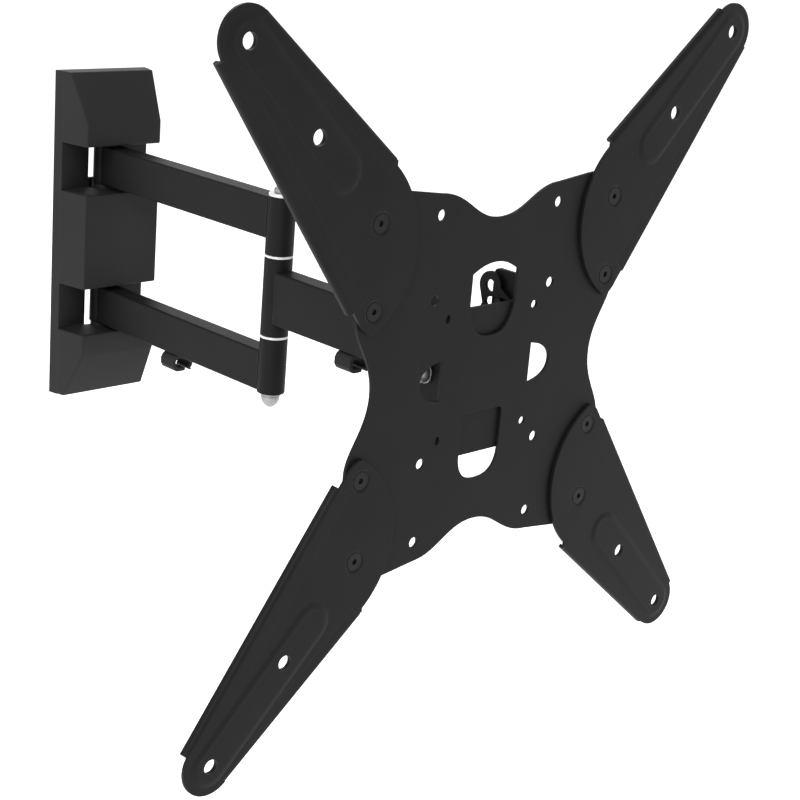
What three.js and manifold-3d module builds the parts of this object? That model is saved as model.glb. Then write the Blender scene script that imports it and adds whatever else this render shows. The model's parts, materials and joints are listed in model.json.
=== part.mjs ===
// Full motion wall mount for a flat screen.
// Row frame: X right, Y into the wall, Z up, millimetres.
// The origin is the centre of the wall plate's back face.
import * as THREE from 'three';
import { mergeVertices } from 'three/addons/utils/BufferGeometryUtils.js';
import Module from 'manifold-3d';

const wasm = await Module();
wasm.setup();

// Driving dimensions
const reach = 414; // wall face to the face that the screen bolts to
const gap = 0.3; // between pieces that touch
const roundSides = 20; // sides of a turned piece
const wallPivotY = -9.3;
const elbowY = -213.4;
const headPivotY = -359;
const tiltAxisY = -391.5;
const armHeight = 28.8; // each tube of the wall side arm
const armWidth = 15.6;
const armCentreZ = 53.5; // upper tube above, lower tube below, the middle of the mount
const innerArmHeight = 36.6; // the single tube of the screen side arm
const knuckleR = 9; // pivot tubes at the wall and at the head
const elbowR = 9.7;
const pinR = 5;
const pinBoreR = 5.3;

// Wall bracket
const bracketHalfHeight = 122.5;
const bracketDepth = 32.7;
const bracketBackHalf = 39.4;
const bracketFrontHalf = 32.4;
const baseDepth = 8.1; // base moulding, then the three covers stand on it
const slopeStartZ = 87.7; // where the front face starts to lean back
const slopeEndY = -14.5;
const recessInnerZ = 35.6; // the two openings that the arm passes through
const recessOuterZ = 70.7;
const coverWall = 2.2;
const wallPlateT = 2.5;

// Screen side
const padHeight = 0.8; // raised pad round the bolt holes
const armT = 2.5; // extension arm sheet
const flangeDepth = 5.2;
const flangeOut = { upper: 1, lower: 3 }; // each bend carries its flange outside the straight edge
const plateT = 2.2; // centre plate sheet
const webT = 2.5; // tilt bracket web
const vesaOuter = 200; // half spacings of the screen's bolt squares
const vesaInner = 150;
const plateBoltX = 100;

const black = { color: 0x1b1b1c, roughness: 0.5, metalness: 0.3 };
const blackPlastic = { color: 0x232324, roughness: 0.55, metalness: 0 };
const zinc = { color: 0xb9bbbd, roughness: 0.3, metalness: 0.9 };
const nylon = { color: 0xe8e8e6, roughness: 0.5, metalness: 0 };
const blackZinc = { color: 0x202021, roughness: 0.35, metalness: 0.8 };

// ---- solids: three.js geometry to manifold and back

function toSolid(geometry) {
  const bare = geometry.clone();
  bare.deleteAttribute('normal');
  bare.deleteAttribute('uv');
  const merged = mergeVertices(bare, 1e-4);
  const vertProperties = new Float32Array(merged.attributes.position.array);
  const triVerts = new Uint32Array(merged.index.array);
  return new wasm.Manifold(new wasm.Mesh({ numProp: 3, vertProperties, triVerts }));
}

function toGeometry(solid) {
  const mesh = solid.getMesh();
  const geometry = new THREE.BufferGeometry();
  geometry.setAttribute('position', new THREE.BufferAttribute(mesh.vertProperties, 3));
  geometry.setIndex(new THREE.BufferAttribute(mesh.triVerts, 1));
  geometry.computeVertexNormals();
  return geometry;
}

function cut(solid, ...tools) {
  return tools.reduce((rest, tool) => rest.subtract(tool), solid);
}

function join(solid, ...others) {
  return others.reduce((rest, other) => rest.add(other), solid);
}

// A box between two corners.
function box(x0, x1, y0, y1, z0, z1) {
  const geometry = new THREE.BoxGeometry(x1 - x0, y1 - y0, z1 - z0);
  geometry.translate((x0 + x1) / 2, (y0 + y1) / 2, (z0 + z1) / 2);
  return toSolid(geometry);
}

// An outline in X and Z, extruded between two Y planes.
function sheetXZ(shape, yFront, yBack, curveSegments = 8) {
  const settings = { depth: yBack - yFront, bevelEnabled: false, curveSegments };
  const geometry = new THREE.ExtrudeGeometry(shape, settings);
  geometry.rotateX(Math.PI / 2);
  geometry.translate(0, yBack, 0);
  return toSolid(geometry);
}

// An outline in Y and Z, extruded between two X planes.
function sheetYZ(shape, x0, x1, curveSegments = 8) {
  const settings = { depth: x1 - x0, bevelEnabled: false, curveSegments };
  const geometry = new THREE.ExtrudeGeometry(shape, settings);
  const turn = new THREE.Matrix4();
  turn.makeBasis(new THREE.Vector3(0, 1, 0), new THREE.Vector3(0, 0, 1), new THREE.Vector3(1, 0, 0));
  geometry.applyMatrix4(turn);
  geometry.translate(x0, 0, 0);
  return toSolid(geometry);
}

// An outline in X and Y, extruded between two Z planes.
function sheetXY(shape, z0, z1, curveSegments = 8) {
  const settings = { depth: z1 - z0, bevelEnabled: false, curveSegments };
  const geometry = new THREE.ExtrudeGeometry(shape, settings);
  geometry.translate(0, 0, z0);
  return toSolid(geometry);
}

function outline(points) {
  return new THREE.Shape(points.map(([u, v]) => new THREE.Vector2(u, v)));
}

// A turned piece on an upright axis: a closed profile of radius and height.
function turnedZ(profile, y, sides = roundSides) {
  const points = profile.map(([r, z]) => new THREE.Vector2(r, z));
  const geometry = new THREE.LatheGeometry(points, sides);
  geometry.rotateX(Math.PI / 2);
  geometry.translate(0, y, 0);
  return toSolid(geometry);
}

function rodZ(r, z0, z1, y, sides = roundSides) {
  return turnedZ([[0, z0], [r, z0], [r, z1], [0, z1]], y, sides);
}

function ringZ(rIn, rOut, z0, z1, y) {
  return turnedZ([[rIn, z0], [rOut, z0], [rOut, z1], [rIn, z1], [rIn, z0]], y);
}

// A rod along X or along Y, between two planes.
function rodX(r, x0, x1, y, z, sides = 16) {
  const geometry = new THREE.CylinderGeometry(r, r, x1 - x0, sides);
  geometry.rotateZ(Math.PI / 2);
  geometry.translate((x0 + x1) / 2, y, z);
  return toSolid(geometry);
}

function rodY(rFront, rBack, yFront, yBack, x, z, sides = 16) {
  const geometry = new THREE.CylinderGeometry(rBack, rFront, yBack - yFront, sides);
  geometry.translate(x, (yFront + yBack) / 2, z);
  return toSolid(geometry);
}

const object = new THREE.Group();
object.name = 'full_motion_wall_mount';

function add(name, solid, finish) {
  const mesh = new THREE.Mesh(toGeometry(solid), new THREE.MeshStandardMaterial(finish));
  mesh.name = name;
  object.add(mesh);
}

// ---- wall bracket

// Half width of the tapered bracket at a depth in front of the wall.
function bracketHalf(y, inset = 0) {
  const slope = (bracketBackHalf - bracketFrontHalf) / bracketDepth;
  return bracketBackHalf + slope * y - inset;
}

// The part of the tapered body between two depths, full height.
function taperedPrism(yFront, yBack, inset) {
  const shape = outline([
    [-bracketHalf(yBack, inset), yBack],
    [-bracketHalf(yFront, inset), yFront],
    [bracketHalf(yFront, inset), yFront],
    [bracketHalf(yBack, inset), yBack],
  ]);
  return sheetXY(shape, -bracketHalfHeight, bracketHalfHeight);
}

const windowHalf = 12.5;
const windowLow = 42; // the window beside each pivot tube, from here to the recess's far end
const rimInside = 35.2;
const pivotClear = 9.7; // round each pivot tube, through the wall plate
const swingClear = 12.4; // and through the base, where the arm's tubes swing
const recessMidZ = (recessInnerZ + recessOuterZ) / 2;
const recessHalf = (recessOuterZ - recessInnerZ) / 2;

function wallBase() {
  let body = taperedPrism(-baseDepth, 0, 0);
  const pocketHalfX = 34 + gap;
  const pocketHalfZ = 117 + gap;
  body = cut(body, box(-pocketHalfX, pocketHalfX, -wallPlateT - gap, 1, -pocketHalfZ, pocketHalfZ));
  for (const side of [1, -1]) {
    const z0 = side * recessMidZ - recessHalf;
    const z1 = side * recessMidZ + recessHalf;
    const valley = outline([[-rimInside, -baseDepth - 1], [-rimInside, -baseDepth], [-windowHalf, -3.9],
      [windowHalf, -3.9], [rimInside, -baseDepth], [rimInside, -baseDepth - 1]]);
    const window = join(
      box(-windowHalf, windowHalf, -20, 1, windowLow, earHigh + earT + 7),
      box(-12 - gap, 12 + gap, -20, 1, earLow - gap, earLow + earT + gap),
      rodZ(swingClear, earLow - 3, windowLow + 1, wallPivotY),
    );
    body = cut(body, sheetXY(valley, z0, z1), side > 0 ? window : window.mirror([0, 0, 1]));
    for (const x of [-20, 20]) {
      body = cut(body, rodY(4.5, 4.5, -20, 1, x, side * 100));
    }
  }
  return body;
}

function wallPlate() {
  const shape = outline([[-34, -117], [34, -117], [34, 117], [-34, 117]]);
  let body = sheetXZ(shape, -wallPlateT, 0);
  for (const side of [1, -1]) {
    const window = join(box(-10.5, 10.5, -20, 1, windowLow, 73), rodZ(pivotClear, 33.3, 73, wallPivotY));
    body = cut(body, side > 0 ? window : window.mirror([0, 0, 1]));
    for (const x of [-20, 20]) {
      body = cut(body, rodY(4, 4, -20, 1, x, side * 100));
    }
  }
  return body;
}

// The outer cover's side outline: upright front face, then a face that leans back to the top.
function outerCoverOutline(inset) {
  const top = bracketHalfHeight - inset;
  const front = -bracketDepth + inset;
  const bottom = recessOuterZ + inset;
  const lean = 0.75 * inset;
  const slope = [[front, slopeStartZ - lean], [slopeEndY + inset, top]];
  return outline([[10, bottom], [front, bottom], ...slope, [10, top]]);
}

function outerCover(side) {
  const back = -baseDepth - gap;
  const shell = sheetYZ(outerCoverOutline(0), -50, 50).intersect(taperedPrism(-bracketDepth, back, 0));
  const hollow = sheetYZ(outerCoverOutline(coverWall), -50, 50);
  const core = hollow.intersect(taperedPrism(-bracketDepth, 10, coverWall));
  const body = cut(shell, core, rodZ(8.3, 60, 80, wallPivotY));
  return side > 0 ? body : body.mirror([0, 0, 1]);
}

function middleCover() {
  const back = -baseDepth - gap;
  const slab = box(-50, 50, -60, 60, -recessInnerZ, recessInnerZ);
  const innerZ = recessInnerZ - coverWall;
  const inner = box(-50, 50, -bracketDepth + coverWall, 60, -innerZ, innerZ);
  const core = inner.intersect(taperedPrism(-bracketDepth, 10, coverWall));
  const shell = slab.intersect(taperedPrism(-bracketDepth, back, 0));
  return cut(shell, core, rodZ(8.3, -50, 50, wallPivotY));
}

// Steel ears on the wall plate that hold the pivot pins, above and below each recess.
const earT = 3;
const earLow = recessInnerZ - coverWall - gap - earT;
const earHigh = recessOuterZ + coverWall + gap;

function pivotEar(side, low) {
  const shape = new THREE.Shape();
  const tipR = 12;
  shape.moveTo(-tipR, -wallPlateT - gap);
  shape.lineTo(-tipR, wallPivotY - 1);
  shape.absarc(0, wallPivotY - 1, tipR, Math.PI, 2 * Math.PI, false);
  shape.lineTo(tipR, -wallPlateT - gap);
  const bore = rodZ(pinBoreR, low - 1, low + earT + 1, wallPivotY);
  const body = sheetXY(shape, low, low + earT, 10).subtract(bore);
  return side > 0 ? body : body.mirror([0, 0, 1]);
}

// Pin with a head above the outer ear and a riveted end under the inner ear.
function pivotPin(side) {
  const top = earHigh + earT + gap;
  const low = earLow - gap;
  const head = turnedZ([[0, top], [6.4, top], [6.4, top + 4], [5, top + 5.5], [0, top + 5.5]], wallPivotY);
  const foot = turnedZ([[0, low - 2], [5.4, low - 2], [6.4, low - 1.2], [6.4, low], [0, low]], wallPivotY);
  const body = join(rodZ(pinR, low - 1, top + 1, wallPivotY), head, foot);
  return side > 0 ? body : body.mirror([0, 0, 1]);
}

const armTopZ = armCentreZ + armHeight / 2;
const armLowZ = armCentreZ - armHeight / 2;

add('wall_plate', wallPlate(), black);
add('wall_base', wallBase(), blackPlastic);
add('top_cover', outerCover(1), blackPlastic);
add('middle_cover', middleCover(), blackPlastic);
add('bottom_cover', outerCover(-1), blackPlastic);

for (const [side, word] of [[1, 'upper'], [-1, 'lower']]) {
  const flip = (solid) => (side > 0 ? solid : solid.mirror([0, 0, 1]));
  add(`${word}_pivot_ear_outer`, pivotEar(side, earHigh), black);
  add(`${word}_pivot_ear_inner`, pivotEar(side, earLow), black);
  add(`${word}_pivot_pin`, pivotPin(side), blackZinc);
  const bushOuter = ringZ(pinBoreR, 8, armTopZ + gap, earHigh - gap, wallPivotY);
  const bushInner = ringZ(pinBoreR, 8, earLow + earT + gap, armLowZ - gap, wallPivotY);
  add(`${word}_pivot_bush_outer`, flip(bushOuter), blackPlastic);
  add(`${word}_pivot_bush_inner`, flip(bushInner), blackPlastic);
}

// ---- wall side arm: two tubes between the wall pivot and the elbow

// A rectangular tube along Y with rounded corners, coped at both ends to fit round pivot tubes.
function roundedRect(halfW, halfH, r) {
  const shape = new THREE.Shape();
  shape.moveTo(-halfW + r, -halfH);
  shape.lineTo(halfW - r, -halfH);
  shape.absarc(halfW - r, -halfH + r, r, -Math.PI / 2, 0, false);
  shape.lineTo(halfW, halfH - r);
  shape.absarc(halfW - r, halfH - r, r, 0, Math.PI / 2, false);
  shape.lineTo(-halfW + r, halfH);
  shape.absarc(-halfW + r, halfH - r, r, Math.PI / 2, Math.PI, false);
  shape.lineTo(-halfW, -halfH + r);
  shape.absarc(-halfW + r, -halfH + r, r, Math.PI, 1.5 * Math.PI, false);
  return shape;
}

function rectTube(height, yFront, yBack) {
  const wall = 1.8;
  const outer = sheetXZ(roundedRect(armWidth / 2, height / 2, 1.6), yFront, yBack, 3);
  const bore = sheetXZ(roundedRect(armWidth / 2 - wall, height / 2 - wall, 0.6), yFront - 1, yBack + 1, 2);
  return outer.subtract(bore);
}

// How far a round pivot tube of radius r stands in from the tube's coped end.
function copeDepth(r) {
  return r - Math.sqrt(r * r - (armWidth * armWidth) / 4);
}

const wallCope = knuckleR + gap;
const elbowCope = elbowR + gap;

function outerArmTube() {
  const yBack = wallPivotY - wallCope + copeDepth(wallCope);
  const yFront = elbowY + elbowCope - copeDepth(elbowCope);
  const tube = rectTube(armHeight, yFront, yBack);
  return cut(tube, rodZ(wallCope, -50, 50, wallPivotY), rodZ(elbowCope, -50, 50, elbowY));
}

// Cable clip: a flat loop under an arm tube, with a mouth at its lower right and a lip beside it.
function cableClip(yBack, zTop, height) {
  const half = 9;
  const wall = 1.9;
  const low = -height / 2;
  const yFront = yBack - 15;
  const outer = sheetXZ(roundedRect(half, height / 2, 4), yFront, yBack, 5);
  const inner = sheetXZ(roundedRect(half - wall, height / 2 - wall, 2.4), yFront - 1, yBack + 1, 4);
  const mouth = box(2.4, 6, yFront - 1, yBack + 1, low - 1, low + wall + 1);
  const lip = rodY(1.3, 1.3, yFront, yBack, 6.7, low + 0.9, 12);
  return join(cut(outer, inner, mouth), lip).translate([0, 0, zTop + low]);
}

const elbowTubeInner = 29.2;
const elbowTubeOuter = 68.4;
const middleHalf = 27;

add('upper_arm_tube', outerArmTube().translate([0, 0, armCentreZ]), black);
add('lower_arm_tube', outerArmTube().translate([0, 0, -armCentreZ]), black);
for (const [side, word] of [[1, 'upper'], [-1, 'lower']]) {
  const flip = (solid) => (side > 0 ? solid : solid.mirror([0, 0, 1]));
  add(`${word}_wall_knuckle`, flip(ringZ(pinBoreR, knuckleR, armLowZ, armTopZ, wallPivotY)), black);
  add(`${word}_elbow_tube`, flip(ringZ(pinBoreR, elbowR, elbowTubeInner, elbowTubeOuter, elbowY)), black);
  const spacer = ringZ(pinBoreR, 9.9, middleHalf + gap, elbowTubeInner - gap, elbowY);
  add(`${word}_elbow_spacer`, flip(spacer), nylon);
}

const washerTopZ = elbowTubeOuter + gap + 2;
const boltHeadZ = washerTopZ + gap;

// Low domed head of a pivot bolt.
function boltHead(z, y) {
  return turnedZ([[0, z], [6.2, z], [6.2, z + 2.8], [4.8, z + 4.6], [0, z + 5.3]], y);
}

add('elbow_top_washer', ringZ(pinBoreR, 9.2, elbowTubeOuter + gap, washerTopZ, elbowY), nylon);
const elbowShank = rodZ(pinR, -elbowTubeOuter - 3, boltHeadZ + 1, elbowY);
add('elbow_bolt', boltHead(boltHeadZ, elbowY).add(elbowShank), zinc);

// A domed cap nut that hangs below a pivot: blind bore, collar, then a dome.
function domeNut(bore, top, y, r, height) {
  const profile = [[bore, top], [r + 0.4, top], [r + 0.4, top - 1.6], [r, top - 2.2]];
  for (let i = 1; i < 4; i += 1) {
    const angle = (i / 4) * (Math.PI / 2);
    profile.push([r * Math.cos(angle), top - 2.2 - (height - 2.2) * Math.sin(angle)]);
  }
  profile.push([0, top - height], [0, top - 5], [bore, top - 5], [bore, top]);
  return turnedZ(profile.reverse(), y);
}

add('elbow_cap_nut', domeNut(pinBoreR, -elbowTubeOuter - gap, elbowY, 6.8, 10.4), zinc);
add('outer_cable_clip', cableClip(-99, -armTopZ - gap, 12.4), blackPlastic);

// ---- screen side arm: one tube between the elbow and the head pivot

const headTubeHalf = 13.4;
const innerTubeFront = headPivotY + 13;

function innerArmTube() {
  const yBack = elbowY - elbowCope + copeDepth(elbowCope);
  return cut(rectTube(innerArmHeight, innerTubeFront + gap, yBack), rodZ(elbowCope, -50, 50, elbowY));
}

// End plate, neck and upright pivot tube, welded into one piece.
function headKnuckle() {
  const plateShape = roundedRect(armWidth / 2, innerArmHeight / 2, 1.6);
  const plate = sheetXZ(plateShape, innerTubeFront - 3, innerTubeFront, 4);
  const neck = box(-6, 6, headPivotY, innerTubeFront - 1, -headTubeHalf, headTubeHalf);
  const tube = rodZ(knuckleR, -headTubeHalf, headTubeHalf, headPivotY);
  return cut(join(tube, neck, plate), rodZ(4.3, -40, 40, headPivotY));
}

add('inner_arm_tube', innerArmTube(), black);
add('elbow_middle_tube', ringZ(pinBoreR, elbowR, -middleHalf, middleHalf, elbowY), black);
add('head_knuckle', headKnuckle(), black);
add('inner_cable_clip', cableClip(-285, -innerArmHeight / 2 - gap, 12.4), blackPlastic);

// ---- swivel head: channel round the head pivot, and two tilt ears

const headEarT = 2.4;
const headEarLow = headTubeHalf + 0.9;
const headWebY = headPivotY - 12; // back of the channel's web
const earInsideX = 27;

function headChannel() {
  const high = headEarLow + headEarT;
  const web = box(-earInsideX + gap, earInsideX - gap, headWebY - headEarT, headWebY, -high, high);
  const shape = new THREE.Shape();
  const noseR = 9.4;
  shape.moveTo(noseR, headWebY - 1);
  shape.lineTo(noseR, headPivotY);
  shape.absarc(0, headPivotY, noseR, 0, Math.PI, false);
  shape.lineTo(-noseR, headWebY - 1);
  const topEar = sheetXY(shape, headEarLow, high, 10);
  const lowEar = sheetXY(shape, -high, -headEarLow, 10);
  return cut(join(web, topEar, lowEar), rodZ(4.3, -40, 40, headPivotY));
}

// Tilt slot: an arc about the tilt axis, given by its end angles from upright.
const slotR = 35;
const slotHalfW = 3;
const slotFrom = -11.4; // toward the screen
const slotTo = 15.7; // toward the wall
const guideAngle = THREE.MathUtils.degToRad(3.8); // where the guide screw sits at rest
const guideY = tiltAxisY + slotR * Math.sin(guideAngle);
const guideZ = slotR * Math.cos(guideAngle);

function arcSlot(fromDeg, toDeg) {
  const up = Math.PI / 2;
  const a0 = up - THREE.MathUtils.degToRad(toDeg);
  const a1 = up - THREE.MathUtils.degToRad(fromDeg);
  const shape = new THREE.Shape();
  const at = (r, a) => [tiltAxisY + r * Math.cos(a), r * Math.sin(a)];
  const [sy, sz] = at(slotR, a0);
  const [ey, ez] = at(slotR, a1);
  shape.absarc(tiltAxisY, 0, slotR + slotHalfW, a0, a1, false);
  shape.absarc(ey, ez, slotHalfW, a1, a1 + Math.PI, false);
  shape.absarc(tiltAxisY, 0, slotR - slotHalfW, a1, a0, true);
  shape.absarc(sy, sz, slotHalfW, a0 + Math.PI, a0 + 2 * Math.PI, false);
  return sheetYZ(shape, -60, 60, 6);
}

const lobeY = -382;
const lobeZ = 43.8;

function headEar(side) {
  const shape = new THREE.Shape();
  const lobeR = 9;
  shape.moveTo(headWebY - headEarT, -16);
  shape.lineTo(tiltAxisY, -12);
  shape.absarc(tiltAxisY, 0, 12, 1.5 * Math.PI, Math.PI, true);
  const endAngle = THREE.MathUtils.degToRad(90 - slotFrom);
  const capY = tiltAxisY + slotR * Math.cos(endAngle);
  const capZ = slotR * Math.sin(endAngle);
  shape.absarc(capY, capZ, slotHalfW + 2, Math.PI, Math.PI / 2, true);
  shape.absarc(lobeY, lobeZ, lobeR, Math.PI, -0.3, true);
  shape.lineTo(-376.5, 32);
  shape.lineTo(headWebY, 20);
  shape.lineTo(headWebY, -16);
  const body = sheetYZ(shape, earInsideX, earInsideX + headEarT, 8);
  const lobeHole = rodX(3.8, 0, 60, lobeY, lobeZ);
  const made = cut(body, arcSlot(slotFrom, slotTo), lobeHole, rodX(4.3, 0, 60, tiltAxisY, 0));
  return side > 0 ? made : made.mirror([1, 0, 0]);
}

const headHigh = headEarLow + headEarT;
const headWasherTop = headHigh + gap + 1.4;
add('head_channel', headChannel(), black);
add('head_ear_right', headEar(1), black);
add('head_ear_left', headEar(-1), black);
add('head_top_washer', ringZ(4.3, 7.6, headHigh + gap, headWasherTop, headPivotY), nylon);
const headBoltZ = headWasherTop + gap;
const headShank = rodZ(4, -headHigh - 3, headBoltZ + 1, headPivotY);
add('head_bolt', boltHead(headBoltZ, headPivotY).add(headShank), zinc);
add('head_cap_nut', domeNut(4.3, -headHigh - gap, headPivotY, 6.4, 8.6), zinc);

// ---- tilting bracket and screen plate

const armFrontY = -reach + padHeight;
const armBackY = armFrontY + armT;
const plateFrontY = armBackY + gap;
const plateBackY = plateFrontY + plateT;
const webFrontY = plateBackY + gap;
const webBackY = webFrontY + webT;
const outerEarX = earInsideX + headEarT + 3 * gap;
const tiltEarT = 3;

// Web with two relief slots that the head ears dip into.
function tiltWeb() {
  const shape = outline([[-36, -52], [36, -52], [36, 41], [-36, 41]]);
  const relief = box(earInsideX - 0.8, earInsideX + headEarT + 0.8, -420, -400, 20, 50);
  return cut(sheetXZ(shape, webFrontY, webBackY), relief, relief.mirror([1, 0, 0]));
}

function tiltEar(side) {
  const shape = new THREE.Shape();
  shape.moveTo(webBackY + gap, 55);
  shape.lineTo(webBackY + gap, -24);
  shape.lineTo(tiltAxisY, -24);
  shape.absarc(tiltAxisY, -10, 14, -Math.PI / 2, 0, false);
  shape.lineTo(-381.4, 28);
  shape.lineTo(-381.4, 51);
  shape.absarc(-385.4, 51, 4, 0, Math.PI / 2, false);
  const body = sheetYZ(shape, outerEarX, outerEarX + tiltEarT, 10);
  const made = cut(body, rodX(4.3, 0, 60, tiltAxisY, 0), rodX(3, 0, 60, guideY, guideZ));
  return side > 0 ? made : made.mirror([1, 0, 0]);
}

// Centre plate outline, one quarter, mirrored into four.
function plateQuarter() {
  const path = new THREE.Path();
  path.moveTo(0, 95);
  path.bezierCurveTo(22, 95, 28, 111.5, 50, 112.5);
  path.lineTo(77, 116);
  path.lineTo(102, 118);
  path.quadraticCurveTo(112, 117, 112.5, 106);
  path.lineTo(110.5, 44);
  path.bezierCurveTo(109, 30, 95, 20, 95, 0);
  const all = path.getPoints(6);
  return all.filter((p, i) => i === 0 || p.distanceTo(all[i - 1]) > 0.2);
}

function mirroredOutline(quarter) {
  const tl = quarter.map((p) => [-p.x, p.y]).reverse();
  const tr = quarter.map((p) => [p.x, p.y]);
  const br = quarter.map((p) => [p.x, -p.y]).reverse();
  const bl = quarter.map((p) => [-p.x, -p.y]);
  return outline([...tl, ...tr.slice(1), ...br.slice(1), ...bl.slice(1, -1)].reverse());
}

// Window above the middle: straight sides, arched top, rounded foot.
function topWindow() {
  const shape = new THREE.Shape();
  shape.moveTo(-19.5, 42);
  shape.bezierCurveTo(-17, 28, -12, 23, 0, 23);
  shape.bezierCurveTo(12, 23, 17, 28, 19.5, 42);
  shape.lineTo(19.5, 62);
  shape.quadraticCurveTo(0, 74, -19.5, 62);
  return shape;
}

function bottomWindow() {
  const shape = new THREE.Shape();
  shape.moveTo(-17.5, -28);
  shape.lineTo(-17.5, -50);
  shape.bezierCurveTo(-17.5, -64, -10, -68, 0, -68);
  shape.bezierCurveTo(10, -68, 17.5, -64, 17.5, -50);
  shape.lineTo(17.5, -28);
  shape.quadraticCurveTo(17.5, -24.5, 14, -24.5);
  shape.lineTo(-14, -24.5);
  shape.quadraticCurveTo(-17.5, -24.5, -17.5, -28);
  return shape;
}

function sideWindow(side) {
  const shape = new THREE.Shape();
  shape.moveTo(side * 38.5, -12.8);
  shape.bezierCurveTo(side * 48, -11.5, side * 56.5, -8, side * 56.5, 0);
  shape.bezierCurveTo(side * 56.5, 8, side * 48, 11.5, side * 38.5, 12.8);
  return shape;
}

function vesaPlate() {
  let body = sheetXZ(mirroredOutline(plateQuarter()), plateFrontY, plateBackY);
  for (const shape of [topWindow(), bottomWindow(), sideWindow(1), sideWindow(-1)]) {
    body = cut(body, sheetXZ(shape, plateFrontY - 1, plateBackY + 1, 5));
  }
  for (const sx of [1, -1]) {
    for (const sz of [1, -1]) {
      const hole = (x, z, r) => rodY(r, r, plateFrontY - 1, plateBackY + 1, sx * x, sz * z, 12);
      body = cut(body, hole(50, 100, 3.3), hole(50, 50, 3.3), hole(37.5, 37.5, 2.6));
      for (const z of [100, 50]) {
        const boss = rodY(5.2, 5.2, plateBackY - 0.5, plateBackY + 2.4, sx * plateBoltX, sz * z, 12);
        const bore = rodY(3.3, 3.3, plateFrontY - 1, plateBackY + 4, sx * plateBoltX, sz * z, 12);
        body = body.add(boss).subtract(bore);
      }
    }
  }
  return body;
}

// Extension arm, drawn for the top right corner and mirrored into the others.
const tipR = 18.2;
const upperEdge = THREE.MathUtils.degToRad(39.2);
const lowerEdge = THREE.MathUtils.degToRad(54.3);
const upperLength = 125.8;

function armOutline() {
  const shape = new THREE.Shape();
  const start = THREE.MathUtils.degToRad(131);
  const end = THREE.MathUtils.degToRad(240);
  shape.absarc(vesaOuter, vesaOuter, tipR, lowerEdge - Math.PI / 2, upperEdge + Math.PI / 2, false);
  shape.lineTo(91, 134.6);
  shape.absarc(129.4, 87.3, 58.5, start, end, false);
  shape.quadraticCurveTo(106, 37, 110, 43.55);
  return shape;
}

// Raised pad along the diagonal, round ended.
function padOutline(halfWidth) {
  const shape = new THREE.Shape();
  const up = THREE.MathUtils.degToRad(135);
  shape.absarc(vesaOuter, vesaOuter, halfWidth, up - Math.PI, up, false);
  shape.absarc(131, 131, halfWidth, up, up + Math.PI, false);
  return shape;
}

// A flange bent back along one long edge. The edge runs from a tip tangent point toward the
// middle of the mount; side is the outward direction, left or right of that run.
function edgeFlange(tangent, edge, from, to, side, out) {
  const [x, z] = tangent;
  const nx = side * Math.sin(edge);
  const nz = -side * Math.cos(edge);
  const at = (d, off) => [x - d * Math.cos(edge) + off * nx, z - d * Math.sin(edge) + off * nz];
  const strip = (inside, depth) => {
    const corners = [at(from, out), at(to, out), at(to, inside), at(from, inside)];
    return sheetXZ(outline(side > 0 ? corners : corners.reverse()), armFrontY, armFrontY + depth);
  };
  return strip(out - armT, flangeDepth).add(strip(-1.5, armT));
}

function extensionArm(sx, sz) {
  const sheet = sheetXZ(armOutline(), armFrontY, armBackY, 12);
  const pad = sheetXZ(padOutline(12.5), -reach, armFrontY + 0.5, 8);
  const dent = sheetXZ(padOutline(11), armBackY - padHeight, armBackY + 1, 6);
  const upperTangent = [vesaOuter - tipR * Math.sin(upperEdge), vesaOuter + tipR * Math.cos(upperEdge)];
  const lowerTangent = [vesaOuter + tipR * Math.sin(lowerEdge), vesaOuter - tipR * Math.cos(lowerEdge)];
  const upper = edgeFlange(upperTangent, upperEdge, 0.2, upperLength - 0.4, -1, flangeOut.upper);
  const lower = edgeFlange(lowerTangent, lowerEdge, -1.4, 170, 1, flangeOut.lower);
  let body = cut(join(sheet, pad), dent);
  body = join(body, upper, lower);
  const holeY = -reach - 1;
  const endY = armBackY + 1;
  for (const d of [vesaOuter, vesaInner]) {
    body = cut(body, rodY(4.5, 4.5, holeY, endY, d, d));
  }
  for (const z of [100, 50]) {
    const sink = rodY(7, 3.4, armFrontY, armFrontY + 2.1, plateBoltX, z);
    body = cut(body, rodY(3.4, 3.4, holeY, endY, plateBoltX, z), sink);
  }
  const across = sx < 0 ? body.mirror([1, 0, 0]) : body;
  return sz < 0 ? across.mirror([0, 0, 1]) : across;
}

// Countersunk screw through an extension arm and the centre plate.
function armScrew(x, z) {
  const top = armFrontY + 0.6;
  const head = rodY(5.6, 3, top, top + 1.5, x, z);
  const shank = rodY(3, 3, top + 0.9, plateBackY + 4, x, z, 12);
  const socket = rodY(1.9, 1.9, top - 1, top + 1.3, x, z, 6);
  return cut(head.add(shank), socket);
}

add('tilt_web', tiltWeb(), black);
add('tilt_ear_right', tiltEar(1), black);
add('tilt_ear_left', tiltEar(-1), black);
add('centre_plate', vesaPlate(), black);
for (const [sz, rise] of [[1, 'top'], [-1, 'bottom']]) {
  for (const [sx, hand] of [[1, 'right'], [-1, 'left']]) {
    add(`extension_arm_${rise}_${hand}`, extensionArm(sx, sz), black);
    add(`arm_screw_outer_${rise}_${hand}`, armScrew(sx * plateBoltX, sz * 100), blackZinc);
    add(`arm_screw_inner_${rise}_${hand}`, armScrew(sx * plateBoltX, sz * 50), blackZinc);
  }
}

// One tilt bolt right through, with its nut, and a guide screw whose shank rides in each slot.
const earOut = outerEarX + tiltEarT;
const tiltShank = rodX(4, -earOut - 4.7, earOut + 1, tiltAxisY, 0);
const tiltHead = rodX(7.2, earOut + gap, earOut + gap + 5, tiltAxisY, 0, 6);
add('tilt_bolt', tiltHead.add(tiltShank), zinc);
const tiltNut = domeNut(4.3, 0, 0, 6.8, 11).rotate([0, 90, 0]);
add('tilt_nut', tiltNut.translate([-earOut - gap, tiltAxisY, 0]), zinc);

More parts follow.
